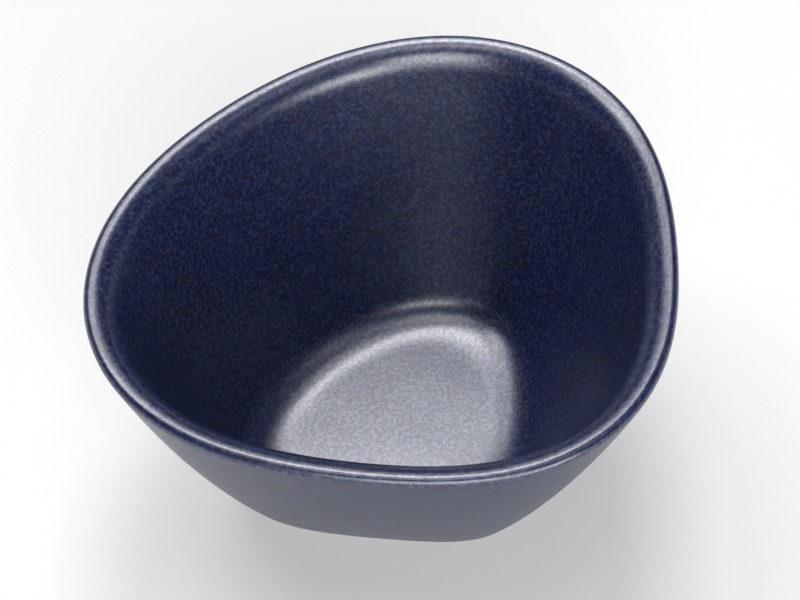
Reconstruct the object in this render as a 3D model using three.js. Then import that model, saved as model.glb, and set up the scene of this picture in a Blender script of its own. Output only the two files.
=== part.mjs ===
// A deep stoneware bowl whose plan is a triangle with wide round corners. Sizes are in millimetres.
// +Z is up, the foot stands on z = 0, and the plan is the same on both sides of the plane x = 0.
// The most pointed corner looks along -Y, and the long flat side is at the back, along +Y.
import * as THREE from "three";

const quarter = Math.PI / 2;
const degrees = quarter / 90;

// Plan of the rim, measured along its crest
const RIM_RADIUS = 66.7; // mean radius of the crest line
const TRIANGLE_LOBE = 3.63; // how far the three corners stand out and the three sides draw in
const WIDTH_LOBE = 3.2; // how much wider the bowl is across x than along y
const CORNER_LOBE = 0.93; // draws the front corner and the back side out, and the two back corners in

// Heights
const HEIGHT = 75.1; // clay, from the foot to the crest
const FLOOR_THICKNESS = 3.5;
const RECESS_DEPTH = 1.4; // hollow under the base, inside the foot

// Lip and wall
const LIP_OUTER_RADIUS = 1.4;
const LIP_INNER_RADIUS = 6.4;
const LEAN_AT_LIP = 18 * degrees; // lean of the wall away from upright, just under the lip
const LEAN_AT_FOOT = 29 * degrees; // lean of the outside at its foot
const WALL_AT_FLOOR = 4.1; // level thickness of the wall where it would meet the floor
const FLOOR_SWEEP = 17.5; // length of the curve in which the floor turns up into the wall
const FLOOR_ROUNDING = 1.4; // how far the inside's three corners draw in, and its sides out, at the floor

// Foot
const HEEL_RADIUS = 2.7; // round under-edge between the outside and the foot's flat
const FOOT_WIDTH = 4.5; // flat ring that the bowl stands on
const FOOT_SQUARENESS = 0.8; // how far the foot stands out at the front, the back and the two ends

// Glaze
const GLAZE = 0.4; // thickness of the fired coat
const GLAZE_EDGE = 0.15; // thickness where the coat ends

// How finely each curve is divided
const PLAN_STEPS = 64;
const LIP_STEPS = 6;
const WALL_STEPS = 6;
const SWEEP_STEPS = 7;
const EDGE_STEPS = 3;
const LEVEL_STEPS = 2;

// Share of the tightest corner's radius up to which a line drawn inside the rim keeps its distance from
// it all round. Further in, the line shrinks towards the middle, so that no corner folds over.
const TRUE_OFFSET_SHARE = 0.8;

// Distance from the middle to the crest at an angle from the front corner, with its first two derivatives.
function crestLine(angle) {
  const lobes = [
    { size: -WIDTH_LOBE, waves: 2 },
    { size: TRIANGLE_LOBE, waves: 3 },
    { size: CORNER_LOBE, waves: 4 },
  ];
  const line = { radius: RIM_RADIUS, slope: 0, bend: 0 };
  for (const { size, waves } of lobes) {
    line.radius += size * Math.cos(waves * angle);
    line.slope -= size * waves * Math.sin(waves * angle);
    line.bend -= size * waves * waves * Math.cos(waves * angle);
  }
  return line;
}

// Radius of the tightest corner of the crest line.
function tightestCorner() {
  let smallest = Infinity;
  for (let step = 0; step < PLAN_STEPS; step += 1) {
    const { radius, slope, bend } = crestLine((step * 2 * Math.PI) / PLAN_STEPS);
    const length = Math.hypot(radius, slope);
    const turn = radius * radius + 2 * slope * slope - radius * bend;
    if (turn > 0) smallest = Math.min(smallest, length ** 3 / turn);
  }
  return smallest;
}

const trueOffset = TRUE_OFFSET_SHARE * tightestCorner();

// Point of the plan at an angle from the front corner, for a station of the section.
function planPoint(angle, place) {
  const { radius, slope } = crestLine(angle);
  const inset = place.inset - place.lobe * Math.cos(place.waves * angle);
  const length = Math.hypot(radius, slope);
  const kept = Math.min(inset, trueOffset);
  const along = radius - (kept * radius) / length;
  const across = (kept * slope) / length;
  const shrink = (RIM_RADIUS - Math.max(inset, trueOffset)) / (RIM_RADIUS - trueOffset);
  return {
    x: shrink * (along * Math.sin(angle) + across * Math.cos(angle)),
    y: shrink * (across * Math.sin(angle) - along * Math.cos(angle)),
  };
}

// A station is one place on the section: its inset from the crest line, its height, and the tilt of the
// surface there, which is 0 where the surface faces up, positive outwards and negative inwards. Its lobe is
// how far the plan stands out there, in a number of waves round the bowl.
function station(inset, height, tilt) {
  return { inset, height, tilt, lobe: 0, waves: 0 };
}

// The stations with a lobe that grows evenly from nothing at the crest to its size at a height.
function lobed(stations, size, waves, bottom) {
  return stations.map((place) => {
    const share = (HEIGHT - place.height) / (HEIGHT - bottom);
    return { ...place, lobe: size * share, waves };
  });
}

// Stations along an arc of the section. The surface curves away from the centre where side is 1, and
// round it where side is -1.
function arc(centre, radius, from, to, steps, side = 1) {
  const stations = [];
  for (let step = 0; step <= steps; step += 1) {
    const tilt = from + ((to - from) * step) / steps;
    const inset = centre.inset - side * radius * Math.sin(tilt);
    stations.push(station(inset, centre.height + side * radius * Math.cos(tilt), tilt));
  }
  return stations;
}

// A gently curved wall that falls from its top by a drop, while its lean turns from one angle to another.
// It gives the place on the wall at a height.
function curvedWall(top, drop, leanAtTop, leanAtFoot) {
  const radius = drop / (Math.sin(leanAtFoot) - Math.sin(leanAtTop));
  return (height) => {
    const lean = Math.asin(Math.sin(leanAtTop) + (top.height - height) / radius);
    const inset = top.inset + radius * (Math.cos(leanAtTop) - Math.cos(lean));
    return { inset, height, lean };
  };
}

// Stations down a wall between two heights. The tilt turns its lean into the way the surface faces.
function wallStations(wall, from, to, tiltOf) {
  const stations = [];
  for (let step = 0; step <= WALL_STEPS; step += 1) {
    const place = wall(from + ((to - from) * step) / WALL_STEPS);
    stations.push(station(place.inset, place.height, tiltOf(place.lean)));
  }
  return stations;
}

// Level stations from an edge in to the middle of the bowl, without the edge itself. The lobe fades out.
function levelDisc(edge) {
  const stations = [];
  for (let step = 1; step <= LEVEL_STEPS; step += 1) {
    const share = step / LEVEL_STEPS;
    const inset = edge.inset + (RIM_RADIUS - edge.inset) * share;
    stations.push({ ...edge, inset, lobe: edge.lobe * (1 - share) });
  }
  return stations;
}

// Curve in which the level floor turns up into the inside of the wall. It tightens evenly on its way.
function sweptFloor(inside, floorHeight, leanAtFloor) {
  const turn = quarter - leanAtFloor;
  const part = FLOOR_SWEEP / SWEEP_STEPS;
  const places = [{ run: 0, rise: 0, tilt: 0 }];
  for (let step = 1; step <= SWEEP_STEPS; step += 1) {
    const slope = turn * ((step - 0.5) / SWEEP_STEPS) ** 2;
    const run = places.at(-1).run + part * Math.cos(slope);
    const rise = places.at(-1).rise + part * Math.sin(slope);
    places.push({ run, rise, tilt: -turn * (step / SWEEP_STEPS) ** 2 });
  }
  const end = places.at(-1);
  const start = inside(floorHeight + end.rise).inset + end.run;
  return places.map(({ run, rise, tilt }) => station(start - run, floorHeight + rise, tilt));
}

// Outer half of the lip, from the crest to where the outside starts.
function outerLip() {
  const centre = { inset: 0, height: HEIGHT - LIP_OUTER_RADIUS };
  return arc(centre, LIP_OUTER_RADIUS, 0, quarter + LEAN_AT_LIP, LIP_STEPS);
}

// Inner half of the lip, from where the inside starts to the crest.
function innerLip() {
  const centre = { inset: 0, height: HEIGHT - LIP_INNER_RADIUS };
  return arc(centre, LIP_INNER_RADIUS, LEAN_AT_LIP - quarter, 0, LIP_STEPS);
}

// Section of the clay that carries the main coat, from the middle of the floor over the lip to the heel.
function glazedSection() {
  const inner = innerLip();
  const outer = outerLip();
  const outsideTop = outer.at(-1);
  const heelHeight = HEEL_RADIUS * (1 - Math.sin(LEAN_AT_FOOT));
  const outside = curvedWall(outsideTop, outsideTop.height - heelHeight, LEAN_AT_LIP, LEAN_AT_FOOT);

  // The inside wall is aimed at the corner where it would meet the floor, which the sweep then rounds.
  const floorHeight = RECESS_DEPTH + FLOOR_THICKNESS;
  const cornerInset = outside(floorHeight).inset + WALL_AT_FLOOR;
  const drop = inner[0].height - floorHeight;
  const chordLean = Math.atan2(cornerInset - inner[0].inset, drop);
  const leanAtFloor = 2 * chordLean - LEAN_AT_LIP;
  const inside = curvedWall(inner[0], drop, LEAN_AT_LIP, leanAtFloor);
  const sweep = sweptFloor(inside, floorHeight, leanAtFloor);

  const insideWall = wallStations(inside, sweep.at(-1).height, inner[0].height, (lean) => lean - quarter);
  const outsideWall = wallStations(outside, outsideTop.height, heelHeight, (lean) => lean + quarter);
  const within = lobed([...sweep, ...insideWall.slice(1, -1), ...inner], -FLOOR_ROUNDING, 3, floorHeight);
  const without = lobed([...outer.slice(1), ...outsideWall.slice(1)], FOOT_SQUARENESS, 4, 0);
  return [...levelDisc(within[0]).reverse(), ...within, ...without];
}

// Section of the bare foot, from the heel over the flat ring to the edge of the hollow under the base.
function footSection(heelTop) {
  const heelCentre = { inset: heelTop.inset + HEEL_RADIUS * Math.cos(LEAN_AT_FOOT), height: HEEL_RADIUS };
  const heel = arc(heelCentre, HEEL_RADIUS, heelTop.tilt, 2 * quarter, EDGE_STEPS);
  const edge = RECESS_DEPTH / 2;
  const flatEnd = heelCentre.inset + FOOT_WIDTH;
  const rounded = arc({ inset: flatEnd, height: edge }, edge, 2 * quarter, 3 * quarter, EDGE_STEPS);
  const hollowEdge = { inset: flatEnd + RECESS_DEPTH, height: edge };
  const hollowed = arc(hollowEdge, edge, 3 * quarter, 2 * quarter, EDGE_STEPS, -1);
  return lobed([...heel.slice(1), ...rounded, ...hollowed.slice(1)], FOOT_SQUARENESS, 4, 0);
}

// The station moved off the clay by a thickness of glaze.
function coated(place, thickness) {
  const inset = place.inset - thickness * Math.sin(place.tilt);
  return { ...place, inset, height: place.height + thickness * Math.cos(place.tilt) };
}

// Whether the four-sided faces between two stations are split from the first one's nearer corner. It
// depends on the two places alone, so two pieces that share them face to face are split alike.
function splitFrom(one, other) {
  return one.inset < other.inset || (one.inset === other.inset && one.height < other.height);
}

// Closed skin through the stations. The first and the last lie in the middle of the bowl.
function skin(stations) {
  const positions = [];
  const faces = [];
  const rings = stations.slice(1, -1);
  for (const ring of rings) {
    for (let step = 0; step < PLAN_STEPS; step += 1) {
      const { x, y } = planPoint((step * 2 * Math.PI) / PLAN_STEPS, ring);
      positions.push(x, y, ring.height);
    }
  }
  positions.push(0, 0, stations[0].height, 0, 0, stations.at(-1).height);
  const first = rings.length * PLAN_STEPS;
  const last = first + 1;
  const lastRing = (rings.length - 1) * PLAN_STEPS;
  for (let step = 0; step < PLAN_STEPS; step += 1) {
    const next = (step + 1) % PLAN_STEPS;
    faces.push(first, step, next);
    faces.push(last, lastRing + next, lastRing + step);
    for (let ring = 0; ring < rings.length - 1; ring += 1) {
      const near = ring * PLAN_STEPS;
      const far = near + PLAN_STEPS;
      if (splitFrom(rings[ring], rings[ring + 1])) {
        faces.push(near + step, far + step, far + next);
        faces.push(near + step, far + next, near + next);
      } else {
        faces.push(near + step, far + step, near + next);
        faces.push(far + step, far + next, near + next);
      }
    }
  }
  const geometry = new THREE.BufferGeometry();
  geometry.setAttribute("position", new THREE.Float32BufferAttribute(positions, 3));
  geometry.setIndex(faces);
  geometry.computeVertexNormals();
  return geometry;
}

function named(name, geometry, material) {
  const mesh = new THREE.Mesh(geometry, material);
  mesh.name = name;
  return mesh;
}

function clay() {
  return new THREE.MeshStandardMaterial({ color: 0x6f6459, roughness: 0.9, metalness: 0 });
}

function navyGlaze() {
  return new THREE.MeshStandardMaterial({ color: 0x1b2142, roughness: 0.35, metalness: 0 });
}

// Fired clay: floor, wall, lip and foot in one.
function stonewareBody(glazed, foot) {
  return named("stoneware_body", skin([...glazed, ...foot, ...levelDisc(foot.at(-1))]), clay());
}

// Dark coat in one piece over the inside, the lip and the outside, down to the heel.
function glazeCoat(glazed) {
  const surface = glazed.slice(0, -1).map((place) => coated(place, GLAZE));
  const end = coated(glazed.at(-1), GLAZE_EDGE);
  return named("glaze_coat", skin([...surface, end, ...[...glazed].reverse()]), navyGlaze());
}

// Round of glaze in the hollow under the base.
function baseGlaze(foot) {
  const edge = foot.at(-1);
  const against = levelDisc(edge).reverse();
  const surface = levelDisc(edge).map((place) => coated(place, GLAZE));
  return named("base_glaze", skin([...against, edge, coated(edge, GLAZE_EDGE), ...surface]), navyGlaze());
}

// The whole bowl, with the middle of its outline on the z axis.
function bowl() {
  const glazed = glazedSection();
  const foot = footSection(glazed.at(-1));
  const group = new THREE.Group();
  group.add(stonewareBody(glazed, foot), glazeCoat(glazed), baseGlaze(foot));
  const middle = new THREE.Box3().setFromObject(group).getCenter(new THREE.Vector3());
  for (const mesh of group.children) mesh.geometry.translate(-middle.x, -middle.y, 0);
  return group;
}

export default bowl();
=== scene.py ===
"""A deep stoneware bowl in a satin navy glaze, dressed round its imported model.

Lengths are in metres and +Z is up. The bowl stands on z = 0, its most pointed corner looks along -Y and its
long flat side along +Y. The plan is the same on both sides of the plane x = 0.
"""

import logging
import math
from collections.abc import Callable
from dataclasses import dataclass, field
from enum import Enum
from functools import cached_property
from typing import Any, NamedTuple

import bpy
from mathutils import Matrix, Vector, noise


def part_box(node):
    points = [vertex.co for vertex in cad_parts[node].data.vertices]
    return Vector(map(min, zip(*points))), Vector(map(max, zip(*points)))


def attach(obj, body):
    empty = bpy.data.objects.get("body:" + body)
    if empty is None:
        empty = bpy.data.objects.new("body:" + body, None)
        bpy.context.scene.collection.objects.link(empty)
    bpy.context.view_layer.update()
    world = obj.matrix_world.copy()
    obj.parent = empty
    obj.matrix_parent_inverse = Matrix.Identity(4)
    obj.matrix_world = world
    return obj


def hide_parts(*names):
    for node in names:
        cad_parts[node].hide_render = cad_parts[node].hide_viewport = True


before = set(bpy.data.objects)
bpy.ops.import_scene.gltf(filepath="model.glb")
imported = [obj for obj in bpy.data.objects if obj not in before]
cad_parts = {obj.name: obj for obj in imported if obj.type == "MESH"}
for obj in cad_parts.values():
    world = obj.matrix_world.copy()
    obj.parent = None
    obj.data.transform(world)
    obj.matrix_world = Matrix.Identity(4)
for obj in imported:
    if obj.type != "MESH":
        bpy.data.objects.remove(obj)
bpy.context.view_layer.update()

log = logging.getLogger("stoneware_bowl")

Colour = tuple[float, float, float]
Thickness = Callable[[Vector, int], float]

QUARTER = math.pi / 2
MILLIMETRE = 0.001
GLAZE_THICKNESS = 0.4 * MILLIMETRE
WHITE: Colour = (1.0, 1.0, 1.0)


class Slot(Enum):
    """The record's material slots."""

    NAVY_GLAZE = "navy_glaze"
    FIRED_CLAY = "fired_clay"


class Bend(Enum):
    """Which way an arc of the section curves: away from its centre, or hollow round it."""

    ROUND = 1
    HOLLOW = -1


class Ray(Enum):
    """Kinds of ray by which a surface is seen."""

    CAMERA = "Is Camera Ray"
    GLOSSY = "Is Glossy Ray"
    TRANSMISSION = "Is Transmission Ray"


class Turn(NamedTuple):
    """A smooth turn from one level to another, while the value that is read goes from low to high."""

    low: float
    high: float
    start: float = 0.0
    end: float = 1.0


class Dots(NamedTuple):
    """Scattered round dots: distance between their possible places, radius, and share of places filled."""

    spacing: float
    radius: float
    share: float


# Shader maths


class Wire:
    """A value in a node tree. Python's operators on it add Math nodes."""

    def __init__(self, sheet: "NodeSheet", socket: bpy.types.NodeSocket | None) -> None:
        """Wraps an output socket.

        Args:
            sheet: the tree that the socket belongs to.
            socket: the output socket, or None where a node has none.
        """
        self.sheet = sheet
        self.socket = socket

    def _maths(self, operation: str, first: "Wire | float", second: "Wire | float") -> "Wire":
        """Adds one Math node.

        Args:
            operation: Blender's name of the operation.
            first: left value.
            second: right value.

        Returns:
            The node's result.
        """
        return self.sheet.node("ShaderNodeMath", {"operation": operation}, {0: first, 1: second})

    def __add__(self, other: "Wire | float") -> "Wire":
        """This value and the other together."""
        return self._maths("ADD", self, other)

    def __radd__(self, other: float) -> "Wire":
        """The number and this value together."""
        return self._maths("ADD", other, self)

    def __sub__(self, other: "Wire | float") -> "Wire":
        """This value less the other."""
        return self._maths("SUBTRACT", self, other)

    def __rsub__(self, other: float) -> "Wire":
        """The number less this value."""
        return self._maths("SUBTRACT", other, self)

    def __mul__(self, other: "Wire | float") -> "Wire":
        """This value times the other."""
        return self._maths("MULTIPLY", self, other)

    def __rmul__(self, other: float) -> "Wire":
        """The number times this value."""
        return self._maths("MULTIPLY", other, self)


class NodeSheet:
    """An empty node tree that is filled one node at a time."""

    COLOUR_FACTOR = 0
    COLOUR_FIRST = 6
    COLOUR_SECOND = 7
    COLOUR_RESULT = 2
    DOT_CORE = 0.3
    CHOICE_WIDTH = 0.01

    def __init__(self, tree: bpy.types.NodeTree) -> None:
        """Empties the tree.

        Args:
            tree: node tree of a material or a world.
        """
        self.tree = tree
        self.tree.nodes.clear()

    def node(
        self, kind: str, settings: dict[str, Any], sockets: dict[str | int, Any], output: str | int = 0
    ) -> Wire:
        """Adds a node.

        Args:
            kind: Blender's type name of the node.
            settings: properties of the node, which are set first.
            sockets: a value or a wire for each input, by name or by number.
            output: the output that is wanted, by name or by number.

        Returns:
            That output.
        """
        made = self.tree.nodes.new(kind)
        for name, value in settings.items():
            setattr(made, name, value)
        for key, value in sockets.items():
            if isinstance(value, Wire):
                self.tree.links.new(value.socket, made.inputs[key])
            else:
                made.inputs[key].default_value = value
        return Wire(self, made.outputs[output] if made.outputs else None)

    def mix(self, factor: Wire | float, first: Wire | Colour, second: Wire | Colour) -> Wire:
        """A colour between two others.

        Args:
            factor: 0 for the first colour and 1 for the second.
            first: colour at 0.
            second: colour at 1.

        Returns:
            The mixed colour.
        """
        ends = [value if isinstance(value, Wire) else (*value, 1.0) for value in (first, second)]
        sockets = {self.COLOUR_FACTOR: factor, self.COLOUR_FIRST: ends[0], self.COLOUR_SECOND: ends[1]}
        return self.node("ShaderNodeMix", {"data_type": "RGBA"}, sockets, self.COLOUR_RESULT)

    def place(self) -> Wire:
        """The place on the piece in metres, which stays with the piece."""
        return self.node("ShaderNodeTexCoord", {}, {}, "Object")

    def along_z(self, vector: Wire) -> Wire:
        """The upright part of a vector."""
        return self.node("ShaderNodeSeparateXYZ", {}, {"Vector": vector}, "Z")

    def ray(self, kind: Ray) -> Wire:
        """1 for a ray of a kind, and 0 for any other."""
        return self.node("ShaderNodeLightPath", {}, {}, kind.value)

    def grain(self, spot: Wire, size: float, detail: float = 2.0, roughness: float = 0.5) -> Wire:
        """Soft noise.

        Args:
            spot: place to read it at.
            size: size of its larger grains in metres.
            detail: how many finer layers it has.
            roughness: how strong these are.

        Returns:
            A value round 0.5.
        """
        sockets = {"Vector": spot, "Scale": 1.0 / size, "Detail": detail, "Roughness": roughness}
        return self.node("ShaderNodeTexNoise", {}, sockets)

    def step(self, value: Wire, turn: Turn) -> Wire:
        """Turns a value smoothly from one level to another.

        Args:
            value: the value that is read.
            turn: its range and the two levels.

        Returns:
            The result.
        """
        sockets = {
            "Value": value,
            "From Min": turn.low,
            "From Max": turn.high,
            "To Min": turn.start,
            "To Max": turn.end,
        }
        return self.node("ShaderNodeMapRange", {"interpolation_type": "SMOOTHSTEP"}, sockets)

    def dots(self, spot: Wire, kind: Dots) -> Wire:
        """Scattered round dots.

        Args:
            spot: place to read them at.
            kind: their spacing, size and number.

        Returns:
            1 in the middle of a dot and 0 away from it.
        """
        sockets = {"Vector": spot, "Scale": 1.0 / kind.spacing}
        reach = self.node("ShaderNodeTexVoronoi", {}, sockets, "Distance")
        pick = self.node("ShaderNodeTexVoronoi", {}, sockets, "Color")
        chosen = self.node("ShaderNodeSeparateColor", {}, {"Color": pick}, "Red")
        there = self.step(chosen, Turn(kind.share, kind.share + self.CHOICE_WIDTH, 1.0, 0.0))
        edge = kind.radius / kind.spacing
        return there * self.step(reach, Turn(self.DOT_CORE * edge, edge, 1.0, 0.0))


# Finishes


@dataclass(frozen=True)
class NavyGlaze:
    """Satin navy glaze with pale grains, dark pits, specks and pinholes. Its outside has less sheen."""

    navy: Colour = (0.0040, 0.0085, 0.0420)
    plum: Colour = (0.0080, 0.0080, 0.0310)
    pale_grain: Colour = (0.0280, 0.0440, 0.1000)
    pale_speck: Colour = (0.2200, 0.2400, 0.3300)
    dark_pit: Colour = (0.0030, 0.0040, 0.0110)
    thin_edge: Colour = (0.0700, 0.0480, 0.0360)
    sheen_tint: Colour = (0.88, 0.89, 1.0)
    roughness: float = 0.34
    roughness_spread: float = 0.25
    refraction: float = 1.50
    sheen_refraction: float = 2.00
    sheen_roughness: float = 0.28
    outside_sheen: float = 0.05
    grain_size: float = 1.1 * MILLIMETRE
    fine_size: float = 0.5 * MILLIMETRE
    coarse_share: float = 0.6
    coarse_roughness: float = 0.6
    tone_size: float = 4.5 * MILLIMETRE
    pits: Dots = Dots(1.5 * MILLIMETRE, 0.34 * MILLIMETRE, 0.30)
    specks: Dots = Dots(3.0 * MILLIMETRE, 0.22 * MILLIMETRE, 0.10)
    pinholes: Dots = Dots(14.0 * MILLIMETRE, 0.40 * MILLIMETRE, 0.12)
    pit_colouring: float = 0.7
    speck_colouring: float = 0.7
    pinhole_colouring: float = 0.8
    pit_depth: float = 0.12
    pinhole_depth: float = 0.5
    pit_dulling: float = 0.3
    relief: float = 0.10 * MILLIMETRE
    relief_strength: float = 0.9
    thin_height: float = 2.2 * MILLIMETRE
    thin_colouring: float = 0.55
    thin_core: float = 0.7
    plum_by_tone: Turn = Turn(0.42, 0.62)
    grain_by_mottle: Turn = Turn(0.44, 0.66, 0.0, 0.9)
    sheen_by_mottle: Turn = Turn(0.36, 0.64, 0.33, 0.60)
    outside_by_facing: Turn = Turn(-0.28, -0.05, 1.0, 0.0)

    def material(self) -> bpy.types.Material:
        """Builds the material.

        Returns:
            The finished material.
        """
        made = bpy.data.materials.new("navy_glaze")
        made.use_nodes = True
        sheet = NodeSheet(made.node_tree)
        spot = sheet.place()
        coarse = sheet.grain(spot, self.grain_size, roughness=self.coarse_roughness)
        fine = sheet.grain(spot, self.fine_size, detail=1.0)
        mottle = self.coarse_share * coarse + (1 - self.coarse_share) * fine
        pits = sheet.dots(spot, self.pits)
        pinholes = sheet.dots(spot, self.pinholes)
        height = mottle - self.pit_depth * pits - self.pinhole_depth * pinholes
        sockets = {"Strength": self.relief_strength, "Distance": self.relief, "Height": height}
        bump = sheet.node("ShaderNodeBump", {}, sockets, "Normal")
        tint = (*self.sheen_tint, 1.0)
        surface = sheet.node(
            "ShaderNodeBsdfPrincipled",
            {},
            {
                "Base Color": self._colour(sheet, spot, mottle, pits, pinholes),
                "Roughness": self.roughness + self.roughness_spread * (mottle - 0.5),
                "IOR": self.refraction,
                "Specular Tint": tint,
                "Normal": bump,
                "Coat Weight": self._sheen(sheet, mottle, pits),
                "Coat Roughness": self.sheen_roughness,
                "Coat IOR": self.sheen_refraction,
                "Coat Tint": tint,
            },
        )
        sheet.node("ShaderNodeOutputMaterial", {}, {"Surface": surface})
        return made

    def _sheen(self, sheet: NodeSheet, mottle: Wire, pits: Wire) -> Wire:
        """Strength of the clear sheen, which follows the mottle and fades where the surface faces down.

        Args:
            sheet: the material's tree.
            mottle: the mottle, round 0.5.
            pits: the dark pits.

        Returns:
            The strength.
        """
        facing = sheet.node("ShaderNodeNewGeometry", {}, {}, "Normal")
        outside = sheet.step(sheet.along_z(facing), self.outside_by_facing)
        sheen = sheet.step(mottle - self.pit_dulling * pits, self.sheen_by_mottle)
        return sheen * (1 - (1 - self.outside_sheen) * outside)

    def _colour(self, sheet: NodeSheet, spot: Wire, mottle: Wire, pits: Wire, pinholes: Wire) -> Wire:
        """Colour of the coat over its whole surface.

        Args:
            sheet: the material's tree.
            spot: the place on the piece.
            mottle: the mottle, round 0.5.
            pits: the dark pits.
            pinholes: the pinholes.

        Returns:
            The colour.
        """
        tones = sheet.grain(spot, self.tone_size)
        base = sheet.mix(sheet.step(tones, self.plum_by_tone), self.navy, self.plum)
        mottled = sheet.mix(sheet.step(mottle, self.grain_by_mottle), base, self.pale_grain)
        pitted = sheet.mix(self.pit_colouring * pits, mottled, self.dark_pit)
        specks = sheet.dots(spot, self.specks)
        speckled = sheet.mix(self.speck_colouring * specks, pitted, self.pale_speck)
        holed = sheet.mix(self.pinhole_colouring * pinholes, speckled, self.dark_pit)
        thinning = Turn(self.thin_core * self.thin_height, self.thin_height, self.thin_colouring, 0.0)
        return sheet.mix(sheet.step(sheet.along_z(spot), thinning), holed, self.thin_edge)


@dataclass(frozen=True)
class FiredClay:
    """Bare fired clay of the foot: matt, sandy and lightly speckled."""

    clay: Colour = (0.185, 0.150, 0.120)
    warm: Colour = (0.150, 0.108, 0.078)
    iron: Colour = (0.045, 0.032, 0.025)
    roughness: float = 0.86
    roughness_spread: float = 0.1
    sand_size: float = 0.5 * MILLIMETRE
    sand_roughness: float = 0.7
    tone_size: float = 12.0 * MILLIMETRE
    warm_by_tone: Turn = Turn(0.35, 0.65)
    iron_dots: Dots = Dots(2.4 * MILLIMETRE, 0.3 * MILLIMETRE, 0.2)
    iron_colouring: float = 0.8
    relief: float = 0.08 * MILLIMETRE
    relief_strength: float = 0.6

    def material(self) -> bpy.types.Material:
        """Builds the material.

        Returns:
            The finished material.
        """
        made = bpy.data.materials.new("fired_clay")
        made.use_nodes = True
        sheet = NodeSheet(made.node_tree)
        spot = sheet.place()
        sand = sheet.grain(spot, self.sand_size, detail=3.0, roughness=self.sand_roughness)
        tones = sheet.grain(spot, self.tone_size)
        toned = sheet.mix(sheet.step(tones, self.warm_by_tone), self.clay, self.warm)
        iron = sheet.dots(spot, self.iron_dots)
        speckled = sheet.mix(self.iron_colouring * iron, toned, self.iron)
        sockets = {"Strength": self.relief_strength, "Distance": self.relief, "Height": sand}
        bump = sheet.node("ShaderNodeBump", {}, sockets, "Normal")
        surface = sheet.node(
            "ShaderNodeBsdfPrincipled",
            {},
            {
                "Base Color": speckled,
                "Roughness": self.roughness + self.roughness_spread * (sand - 0.5),
                "Normal": bump,
            },
        )
        sheet.node("ShaderNodeOutputMaterial", {}, {"Surface": surface})
        return made


@dataclass(frozen=True)
class TableTop:
    """Plain pale surface that the bowl stands on, whose shadows are lightened to the eye."""

    colour: Colour = (0.72, 0.72, 0.72)
    roughness: float = 0.65
    specular: float = 0.2
    lightening: float = 0.25

    def material(self) -> bpy.types.Material:
        """Builds the material.

        Returns:
            The finished material.
        """
        made = bpy.data.materials.new("table_top")
        made.use_nodes = True
        sheet = NodeSheet(made.node_tree)
        surface = sheet.node(
            "ShaderNodeBsdfPrincipled",
            {},
            {
                "Base Color": (*self.colour, 1.0),
                "Roughness": self.roughness,
                "Specular IOR Level": self.specular,
            },
        )
        white = sheet.node("ShaderNodeEmission", {}, {"Color": (*WHITE, 1.0), "Strength": 1.0})
        seen = sheet.ray(Ray.CAMERA) + sheet.ray(Ray.GLOSSY) + sheet.ray(Ray.TRANSMISSION)
        mixed = sheet.node("ShaderNodeMixShader", {}, {0: self.lightening * seen, 1: surface, 2: white})
        sheet.node("ShaderNodeOutputMaterial", {}, {"Surface": mixed})
        return made


# Plan and section


@dataclass(frozen=True)
class RimLine:
    """The crest line of the lip seen from above: a circle with lobes, which make it a soft triangle."""

    mean_radius: float = 66.7 * MILLIMETRE
    width_lobe: float = 3.2 * MILLIMETRE
    triangle_lobe: float = 3.63 * MILLIMETRE
    corner_lobe: float = 0.93 * MILLIMETRE
    true_offset_share: float = 0.8
    steps: int = 288

    @cached_property
    def lobes(self) -> tuple[tuple[float, int], ...]:
        """Size and number of waves of each set of lobes."""
        return ((-self.width_lobe, 2), (self.triangle_lobe, 3), (self.corner_lobe, 4))

    def radius(self, angle: float) -> float:
        """Distance from the middle at an angle from the front corner."""
        return self.mean_radius + sum(size * math.cos(waves * angle) for size, waves in self.lobes)

    def slope(self, angle: float) -> float:
        """First derivative of the radius."""
        return sum(-size * waves * math.sin(waves * angle) for size, waves in self.lobes)

    def bend(self, angle: float) -> float:
        """Second derivative of the radius."""
        return sum(-size * waves**2 * math.cos(waves * angle) for size, waves in self.lobes)

    def angles(self) -> list[float]:
        """The angles at which the plan is drawn."""
        return [2 * math.pi * step / self.steps for step in range(self.steps)]

    @cached_property
    def true_offset(self) -> float:
        """Inset up to which a line drawn inside the crest keeps its distance from it all round."""
        tightest = math.inf
        for angle in self.angles():
            radius, slope, bend = self.radius(angle), self.slope(angle), self.bend(angle)
            turn = radius**2 + 2 * slope**2 - radius * bend
            if turn > 0:
                tightest = min(tightest, math.hypot(radius, slope) ** 3 / turn)
        return self.true_offset_share * tightest

    def point(self, angle: float, place: "Station") -> tuple[float, float]:
        """A point of the plan.

        Args:
            angle: angle from the front corner.
            place: station that the point belongs to.

        Returns:
            Its x and y from the middle of the crest line.
        """
        inset = place.inset - place.lobe * math.cos(place.waves * angle)
        radius, slope = self.radius(angle), self.slope(angle)
        length = math.hypot(radius, slope)
        kept = min(inset, self.true_offset)
        along = radius - kept * radius / length
        across = kept * slope / length
        shrink = (self.mean_radius - max(inset, self.true_offset)) / (self.mean_radius - self.true_offset)
        x = shrink * (along * math.sin(angle) + across * math.cos(angle))
        y = shrink * (across * math.sin(angle) - along * math.cos(angle))
        return x, y


class Station(NamedTuple):
    """One place on the section.

    The tilt is 0 where the surface faces up, positive where it faces outwards and negative inwards. The
    lobe is how far the plan stands out there, in a number of waves round the bowl.
    """

    inset: float
    height: float
    tilt: float
    lobe: float = 0.0
    waves: int = 0

    def coated(self, thickness: float) -> "Station":
        """The place moved off the clay by a thickness of glaze."""
        inset = self.inset - thickness * math.sin(self.tilt)
        return self._replace(inset=inset, height=self.height + thickness * math.cos(self.tilt))


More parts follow.
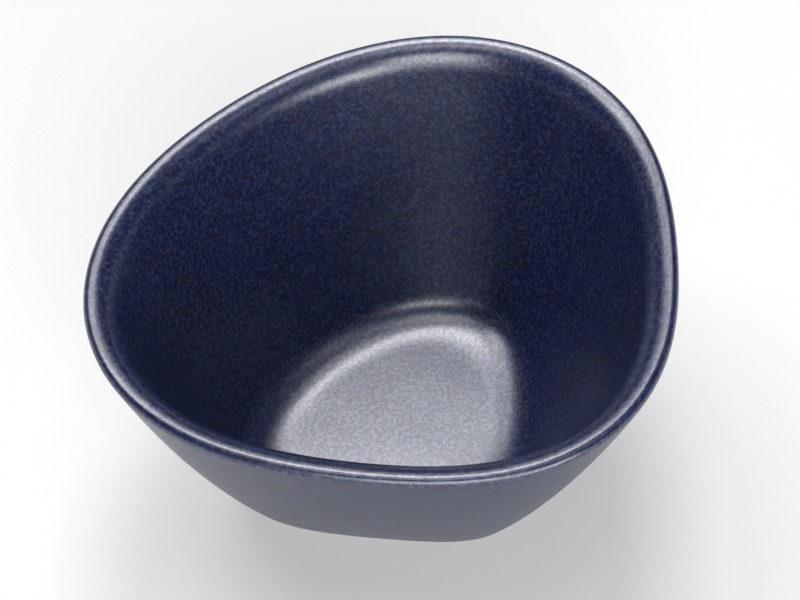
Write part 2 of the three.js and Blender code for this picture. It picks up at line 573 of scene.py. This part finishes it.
def arc(
    centre: tuple[float, float],
    radius: float,
    start: float,
    end: float,
    steps: int,
    bend: Bend = Bend.ROUND,
) -> list[Station]:
    """Stations along an arc of the section.

    Args:
        centre: inset and height of its centre.
        radius: its radius.
        start: tilt at its first station.
        end: tilt at its last station.
        steps: how many parts it is divided into.
        bend: which way it curves.

    Returns:
        The stations in order.
    """
    stations = []
    for step in range(steps + 1):
        tilt = start + (end - start) * step / steps
        inset = centre[0] - bend.value * radius * math.sin(tilt)
        stations.append(Station(inset, centre[1] + bend.value * radius * math.cos(tilt), tilt))
    return stations


@dataclass(frozen=True)
class Wall:
    """A gently curved wall that falls from its top by a drop, while its lean turns."""

    top: Station
    drop: float
    lean_at_top: float
    lean_at_foot: float

    def at(self, height: float) -> tuple[float, float]:
        """The wall at a height.

        Args:
            height: height above the table.

        Returns:
            Its inset and its lean away from upright.
        """
        radius = self.drop / (math.sin(self.lean_at_foot) - math.sin(self.lean_at_top))
        lean = math.asin(math.sin(self.lean_at_top) + (self.top.height - height) / radius)
        return self.top.inset + radius * (math.cos(self.lean_at_top) - math.cos(lean)), lean

    def stations(self, start: float, end: float, steps: int, facing: float) -> list[Station]:
        """Stations between two heights.

        Args:
            start: first height.
            end: last height.
            steps: how many parts it is divided into.
            facing: what is added to the lean to make the tilt.

        Returns:
            The stations in order.
        """
        made = []
        for step in range(steps + 1):
            height = start + (end - start) * step / steps
            inset, lean = self.at(height)
            made.append(Station(inset, height, lean + facing))
        return made


@dataclass(frozen=True)
class Section:
    """The section of the clay, by its driving sizes."""

    rim: RimLine
    height: float = 75.1 * MILLIMETRE
    floor_thickness: float = 3.5 * MILLIMETRE
    recess_depth: float = 1.4 * MILLIMETRE
    lip_outer_radius: float = 1.4 * MILLIMETRE
    lip_inner_length: float = 10.0 * MILLIMETRE
    lean_at_lip: float = math.radians(18.0)
    lean_at_foot: float = math.radians(29.0)
    wall_at_floor: float = 4.1 * MILLIMETRE
    floor_sweep: float = 17.5 * MILLIMETRE
    floor_rounding: float = 1.4 * MILLIMETRE
    floor_waves: int = 3
    foot_squareness: float = 0.8 * MILLIMETRE
    foot_waves: int = 4
    heel_radius: float = 2.7 * MILLIMETRE
    foot_width: float = 4.5 * MILLIMETRE
    lip_steps: int = 16
    wall_steps: int = 28
    sweep_steps: int = 28
    edge_steps: int = 8
    level_steps: int = 14

    def level(self, edge: Station) -> list[Station]:
        """Level stations from an edge in to the middle of the bowl, without the edge itself."""
        span = self.rim.mean_radius - edge.inset
        shares = [step / self.level_steps for step in range(1, self.level_steps + 1)]
        return [
            edge._replace(inset=edge.inset + span * share, lobe=edge.lobe * (1 - share)) for share in shares
        ]

    def lobed(self, stations: list[Station], size: float, waves: int, drop: float) -> list[Station]:
        """Gives stations the lobe that grows from the crest down.

        Args:
            stations: the stations.
            size: how far the lobe stands out at the bottom.
            waves: number of its waves round the bowl.
            drop: distance from the crest down to the bottom.

        Returns:
            The stations with their lobe.
        """
        made = []
        for place in stations:
            lobe = size * (self.height - place.height) / drop
            made.append(place._replace(lobe=lobe, waves=waves))
        return made

    def inner_lip(self) -> list[Station]:
        """The inner half of the lip, a curve that eases from the crest into the wall.

        Returns:
            Stations from the wall up to the crest.
        """
        turn = QUARTER - self.lean_at_lip
        part = self.lip_inner_length / self.lip_steps
        inset, height = 0.0, self.height
        stations = [Station(inset, height, 0.0)]
        for step in range(self.lip_steps):
            slope = turn * (1 - (1 - (step + 0.5) / self.lip_steps) ** 2)
            tilt = -turn * (1 - (1 - (step + 1) / self.lip_steps) ** 2)
            inset += part * math.cos(slope)
            height -= part * math.sin(slope)
            stations.append(Station(inset, height, tilt))
        return stations[::-1]

    def swept_floor(self, wall: Wall, floor: float, turn: float) -> list[Station]:
        """The curve in which the floor turns up into the wall, which tightens evenly on its way.

        Args:
            wall: the inside of the wall.
            floor: height of the floor.
            turn: angle that it turns through.

        Returns:
            Stations from the level floor to the wall.
        """
        part = self.floor_sweep / self.sweep_steps
        run, rise = 0.0, 0.0
        places = [(run, rise, 0.0)]
        for step in range(self.sweep_steps):
            middle = turn * ((step + 0.5) / self.sweep_steps) ** 2
            run += part * math.cos(middle)
            rise += part * math.sin(middle)
            places.append((run, rise, turn * ((step + 1) / self.sweep_steps) ** 2))
        start = wall.at(floor + rise)[0] + run
        return [Station(start - along, floor + up, -tilt) for along, up, tilt in places]

    def glazed(self) -> list[Station]:
        """The part under the main coat.

        Returns:
            Stations from the middle of the floor over the lip to the heel.
        """
        lip_end = QUARTER + self.lean_at_lip
        outer_centre = (0.0, self.height - self.lip_outer_radius)
        outer = arc(outer_centre, self.lip_outer_radius, 0.0, lip_end, self.lip_steps)
        inner = self.inner_lip()
        heel_height = self.heel_radius * (1 - math.sin(self.lean_at_foot))
        outside = Wall(outer[-1], outer[-1].height - heel_height, self.lean_at_lip, self.lean_at_foot)

        floor = self.recess_depth + self.floor_thickness
        corner = outside.at(floor)[0] + self.wall_at_floor
        drop = inner[0].height - floor
        lean_at_floor = 2 * math.atan2(corner - inner[0].inset, drop) - self.lean_at_lip
        inside = Wall(inner[0], drop, self.lean_at_lip, lean_at_floor)
        sweep = self.swept_floor(inside, floor, QUARTER - lean_at_floor)

        rising = inside.stations(sweep[-1].height, inner[0].height, self.wall_steps, -QUARTER)
        falling = outside.stations(outer[-1].height, heel_height, self.wall_steps, QUARTER)
        inner_side = [*sweep, *rising[1:-1], *inner]
        outer_side = [*outer[1:], *falling[1:]]
        within = self.lobed(inner_side, -self.floor_rounding, self.floor_waves, self.height - floor)
        without = self.lobed(outer_side, self.foot_squareness, self.foot_waves, self.height)
        return [*reversed(self.level(within[0])), *within, *without]

    def foot(self, heel_top: Station) -> list[Station]:
        """The bare foot.

        Args:
            heel_top: where the main coat ends.

        Returns:
            Stations from just under it, over the flat ring, to the edge of the hollow under the base.
        """
        radius = self.heel_radius
        centre = heel_top.inset + radius * math.cos(self.lean_at_foot)
        heel = arc((centre, radius), radius, heel_top.tilt, 2 * QUARTER, self.edge_steps)
        edge = self.recess_depth / 2
        flat_end = centre + self.foot_width
        rounded = arc((flat_end, edge), edge, 2 * QUARTER, 3 * QUARTER, self.edge_steps)
        hollow_centre = (flat_end + self.recess_depth, edge)
        hollowed = arc(hollow_centre, edge, 3 * QUARTER, 2 * QUARTER, self.edge_steps, Bend.HOLLOW)
        stations = [*heel[1:], *rounded, *hollowed[1:]]
        return self.lobed(stations, self.foot_squareness, self.foot_waves, self.height)


@dataclass(frozen=True)
class Skin:
    """Draws closed skins through stations, with the plan of the rim line round the middle."""

    rim: RimLine
    middle: Vector

    def mesh(
        self, name: str, stations: list[Station], thickness: Thickness | None = None
    ) -> bpy.types.Object:
        """Builds one closed piece.

        Args:
            name: name of the piece.
            stations: its section, whose first and last stations lie in the middle of the bowl.
            thickness: how far a point of a numbered ring is moved off the clay, if at all.

        Returns:
            The piece, smooth shaded.
        """
        angles = self.rim.angles()
        points = []
        for ring, place in enumerate(stations[1:-1]):
            for angle in angles:
                points.append(self._point(angle, place, ring, thickness))
        first = len(points)
        for ring, place in ((0, stations[0]), (len(stations) - 3, stations[-1])):
            middle = place._replace(inset=self.rim.mean_radius, lobe=0.0)
            points.append(self._point(0.0, middle, ring, thickness))
        mesh = bpy.data.meshes.new(name)
        mesh.from_pydata(points, [], self._faces(len(angles), len(stations) - 2, first))
        mesh.shade_smooth()
        piece = bpy.data.objects.new(name, mesh)
        bpy.context.scene.collection.objects.link(piece)
        return piece

    def _point(self, angle: float, place: Station, ring: int, thickness: Thickness | None) -> Vector:
        """One point of a skin.

        Args:
            angle: its angle from the front corner.
            place: its station.
            ring: number of its ring.
            thickness: how far it is moved off the clay, if at all.

        Returns:
            The point in the frame.
        """
        x, y = self.rim.point(angle, place)
        spot = Vector((x, y, place.height))
        if thickness:
            moved = place.coated(thickness(spot, ring))
            x, y = self.rim.point(angle, moved)
            spot = Vector((x, y, moved.height))
        return spot + self.middle

    @staticmethod
    def _faces(around: int, rings: int, first: int) -> list[tuple[int, ...]]:
        """Faces of a closed skin.

        Args:
            around: points in a ring.
            rings: number of rings.
            first: number of the point that closes the first ring, which the one for the last ring follows.

        Returns:
            The faces, turned outwards.
        """
        faces = []
        last_ring = (rings - 1) * around
        for step in range(around):
            after = (step + 1) % around
            faces.append((first, step, after))
            faces.append((first + 1, last_ring + after, last_ring + step))
            for ring in range(rings - 1):
                near = ring * around
                far = near + around
                faces.append((near + step, far + step, far + after, near + after))
        return faces


# Pieces of the bowl


@dataclass(frozen=True)
class GlazeCoat:
    """The dark coat over the inside, the lip and the outside, with the slight swell of poured glaze."""

    section: Section
    skin: Skin
    finish: NavyGlaze
    thickness: float = GLAZE_THICKNESS
    edge_thickness: float = 0.15 * MILLIMETRE
    swell: float = 0.07 * MILLIMETRE
    swell_size: float = 13.0 * MILLIMETRE

    def build(self) -> bpy.types.Object:
        """Builds, dresses and places the coat.

        Returns:
            The piece.
        """
        under = self.section.glazed()
        last = len(under) - 2

        def thickness(spot: Vector, ring: int) -> float:
            """Thickness of the coat at a point of the clay under a numbered ring."""
            if ring > last:
                return 0.0
            if ring == last:
                return self.edge_thickness
            lift = 0.5 + 0.5 * noise.noise(spot / self.swell_size)
            return self.thickness - self.swell * lift

        piece = self.skin.mesh("navy_coat", [*under, *reversed(under)], thickness)
        return dress(piece, self.finish.material(), Slot.NAVY_GLAZE, "glaze_coat")


@dataclass(frozen=True)
class ClayBody:
    """The fired clay, which shows at the foot."""

    section: Section
    skin: Skin
    finish: FiredClay

    def build(self) -> bpy.types.Object:
        """Builds, dresses and places the clay.

        Returns:
            The piece.
        """
        glazed = self.section.glazed()
        foot = self.section.foot(glazed[-1])
        piece = self.skin.mesh("clay_body", [*glazed, *foot, *self.section.level(foot[-1])])
        return dress(piece, self.finish.material(), Slot.FIRED_CLAY, "stoneware_body")


@dataclass(frozen=True)
class BasePool:
    """The round of glaze in the hollow under the base."""

    section: Section
    skin: Skin
    finish: NavyGlaze
    thickness: float = GLAZE_THICKNESS

    def build(self) -> bpy.types.Object:
        """Builds, dresses and places the round.

        Returns:
            The piece.
        """
        edge = self.section.foot(self.section.glazed()[-1])[-1]
        level = self.section.level(edge)
        surface = [place.coated(self.thickness) for place in level]
        piece = self.skin.mesh("base_pool", [*reversed(level), edge, *surface])
        return dress(piece, self.finish.material(), Slot.NAVY_GLAZE, "base_glaze")


def dress(piece: bpy.types.Object, material: bpy.types.Material, slot: Slot, node: str) -> bpy.types.Object:
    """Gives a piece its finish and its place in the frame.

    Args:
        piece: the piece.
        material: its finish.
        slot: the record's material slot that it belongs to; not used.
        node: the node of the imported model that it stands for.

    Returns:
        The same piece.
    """
    piece.data.materials.append(material)
    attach(piece, "root")
    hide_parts(node)
    return piece


# Studio


def direction(azimuth: float, elevation: float) -> Vector:
    """Direction from the bowl.

    Args:
        azimuth: degrees round from -Y towards +X.
        elevation: degrees above the table.

    Returns:
        A vector of length 1.
    """
    turn, rise = math.radians(azimuth), math.radians(elevation)
    return Vector((math.sin(turn) * math.cos(rise), -math.cos(turn) * math.cos(rise), math.sin(rise)))


@dataclass(frozen=True)
class PhotoCamera:
    """The camera, which looks down at the bowl from in front and to the left."""

    target: Vector = field(default_factory=lambda: Vector((-9.79, -8.33, 75.5)) * MILLIMETRE)
    azimuth: float = -40.9
    elevation: float = 51.6
    distance: float = 500.0 * MILLIMETRE
    lens: float = 99.0
    sensor: float = 36.0
    nearest: float = 10.0 * MILLIMETRE

    def away(self, across: float, behind: float) -> Vector:
        """Direction from the bowl, as seen by the camera.

        Args:
            across: degrees to the right.
            behind: degrees from straight up towards the back.

        Returns:
            A vector of length 1.
        """
        back, right = direction(self.azimuth + 180.0, 0.0), direction(self.azimuth + 90.0, 0.0)
        turn, fall = math.radians(across), math.radians(behind)
        upright = math.sin(fall) * back + math.cos(fall) * Vector((0.0, 0.0, 1.0))
        return math.sin(turn) * right + math.cos(turn) * upright

    def build(self) -> bpy.types.Object:
        """Makes it the scene's camera.

        Returns:
            The camera.
        """
        camera = bpy.data.objects.new("camera", bpy.data.cameras.new("camera"))
        bpy.context.scene.collection.objects.link(camera)
        away = direction(self.azimuth, self.elevation)
        camera.location = self.target + self.distance * away
        camera.rotation_euler = (-away).to_track_quat("-Z", "Y").to_euler()
        camera.data.lens = self.lens
        camera.data.sensor_width = self.sensor
        camera.data.clip_start = self.nearest
        bpy.context.scene.camera = camera
        return camera


@dataclass(frozen=True)
class Softbox:
    """A soft rectangular lamp that faces the bowl. Its width and height are angles seen from there."""

    name: str
    away: Vector
    width: float
    height: float
    radiance: float
    distance: float = 1.6
    aim: Vector = field(default_factory=lambda: Vector((0.0, 0.0, 45.0)) * MILLIMETRE)

    def build(self) -> bpy.types.Object:
        """Hangs the lamp.

        Returns:
            The lamp.
        """
        data = bpy.data.lights.new(self.name, "AREA")
        data.shape = "RECTANGLE"
        data.size = 2 * self.distance * math.tan(math.radians(self.width / 2))
        data.size_y = 2 * self.distance * math.tan(math.radians(self.height / 2))
        data.energy = self.radiance * math.pi * data.size * data.size_y
        lamp = bpy.data.objects.new(self.name, data)
        bpy.context.scene.collection.objects.link(lamp)
        lamp.location = self.aim + self.distance * self.away
        lamp.rotation_euler = (-self.away).to_track_quat("-Z", "Y").to_euler()
        return lamp


@dataclass(frozen=True)
class Studio:
    """Floor, surroundings and lamps, placed round the camera's azimuth."""

    camera: PhotoCamera
    finish: TableTop
    floor_reach: float = 4.0
    ambient: float = 0.01
    horizon: float = 0.10

    def build(self) -> None:
        """Builds the floor, the surroundings and the lamps."""
        self._floor()
        self._surroundings()
        for lamp in self._lamps():
            lamp.build()

    def _lamps(self) -> list[Softbox]:
        """The lamps: a key and its neighbours over the bowl's back, and weaker ones in front."""
        away = self.camera.away
        return [
            Softbox("key", away(0, 24), 18, 18, 16.0),
            Softbox("back", away(0, 44), 34, 18, 1.2),
            Softbox("left", away(-26, 24), 30, 18, 7.9),
            Softbox("top", away(0, -7), 30, 18, 3.7),
            Softbox("top_right", away(32, -7), 20, 20, 1.1),
            Softbox("front", away(6, -57), 34, 24, 6.4),
            Softbox("front_low", away(4, -76), 40, 14, 3.2),
            Softbox("right_low", away(38, -76), 22, 18, 8.7),
        ]

    def _floor(self) -> None:
        """Lays the floor."""
        reach = self.floor_reach
        corners = [(-reach, -reach, 0.0), (reach, -reach, 0.0), (reach, reach, 0.0), (-reach, reach, 0.0)]
        mesh = bpy.data.meshes.new("table_top")
        mesh.from_pydata(corners, [], [(0, 1, 2, 3)])
        mesh.materials.append(self.finish.material())
        floor = bpy.data.objects.new("table_top", mesh)
        bpy.context.scene.collection.objects.link(floor)

    def _surroundings(self) -> None:
        """White to the camera, and in reflections low round the bowl, with dim light from all round."""
        world = bpy.data.worlds.new("studio")
        world.use_nodes = True
        bpy.context.scene.world = world
        sheet = NodeSheet(world.node_tree)
        way = sheet.node("ShaderNodeTexCoord", {}, {}, "Generated")
        low = sheet.step(sheet.along_z(way), Turn(0.5 * self.horizon, self.horizon, 1.0, 0.0))
        mirrored = sheet.ray(Ray.GLOSSY) + sheet.ray(Ray.TRANSMISSION)
        dim = (self.ambient,) * 3
        colour = sheet.mix(sheet.ray(Ray.CAMERA) + low * mirrored, dim, WHITE)
        background = sheet.node("ShaderNodeBackground", {}, {"Color": colour, "Strength": 1.0})
        sheet.node("ShaderNodeOutputWorld", {}, {"Surface": background})


def main() -> None:
    """Builds the bowl and the studio round it."""
    logging.basicConfig(level=logging.INFO, format="%(name)s: %(message)s")
    rim = RimLine()
    section = Section(rim)
    glaze = NavyGlaze()
    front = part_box("stoneware_body")[0].y + rim.radius(0.0) + section.lip_outer_radius
    skin = Skin(rim, Vector((0.0, front, 0.0)))
    makers = (
        GlazeCoat(section, skin, glaze),
        ClayBody(section, skin, FiredClay()),
        BasePool(section, skin, glaze),
    )
    for maker in makers:
        piece = maker.build()
        log.info("%s: %d faces", piece.name, len(piece.data.polygons))
    camera = PhotoCamera()
    camera.build()
    Studio(camera, TableTop()).build()
    bpy.context.scene.view_settings.view_transform = "Standard"


if __name__ == "__main__":
    main()
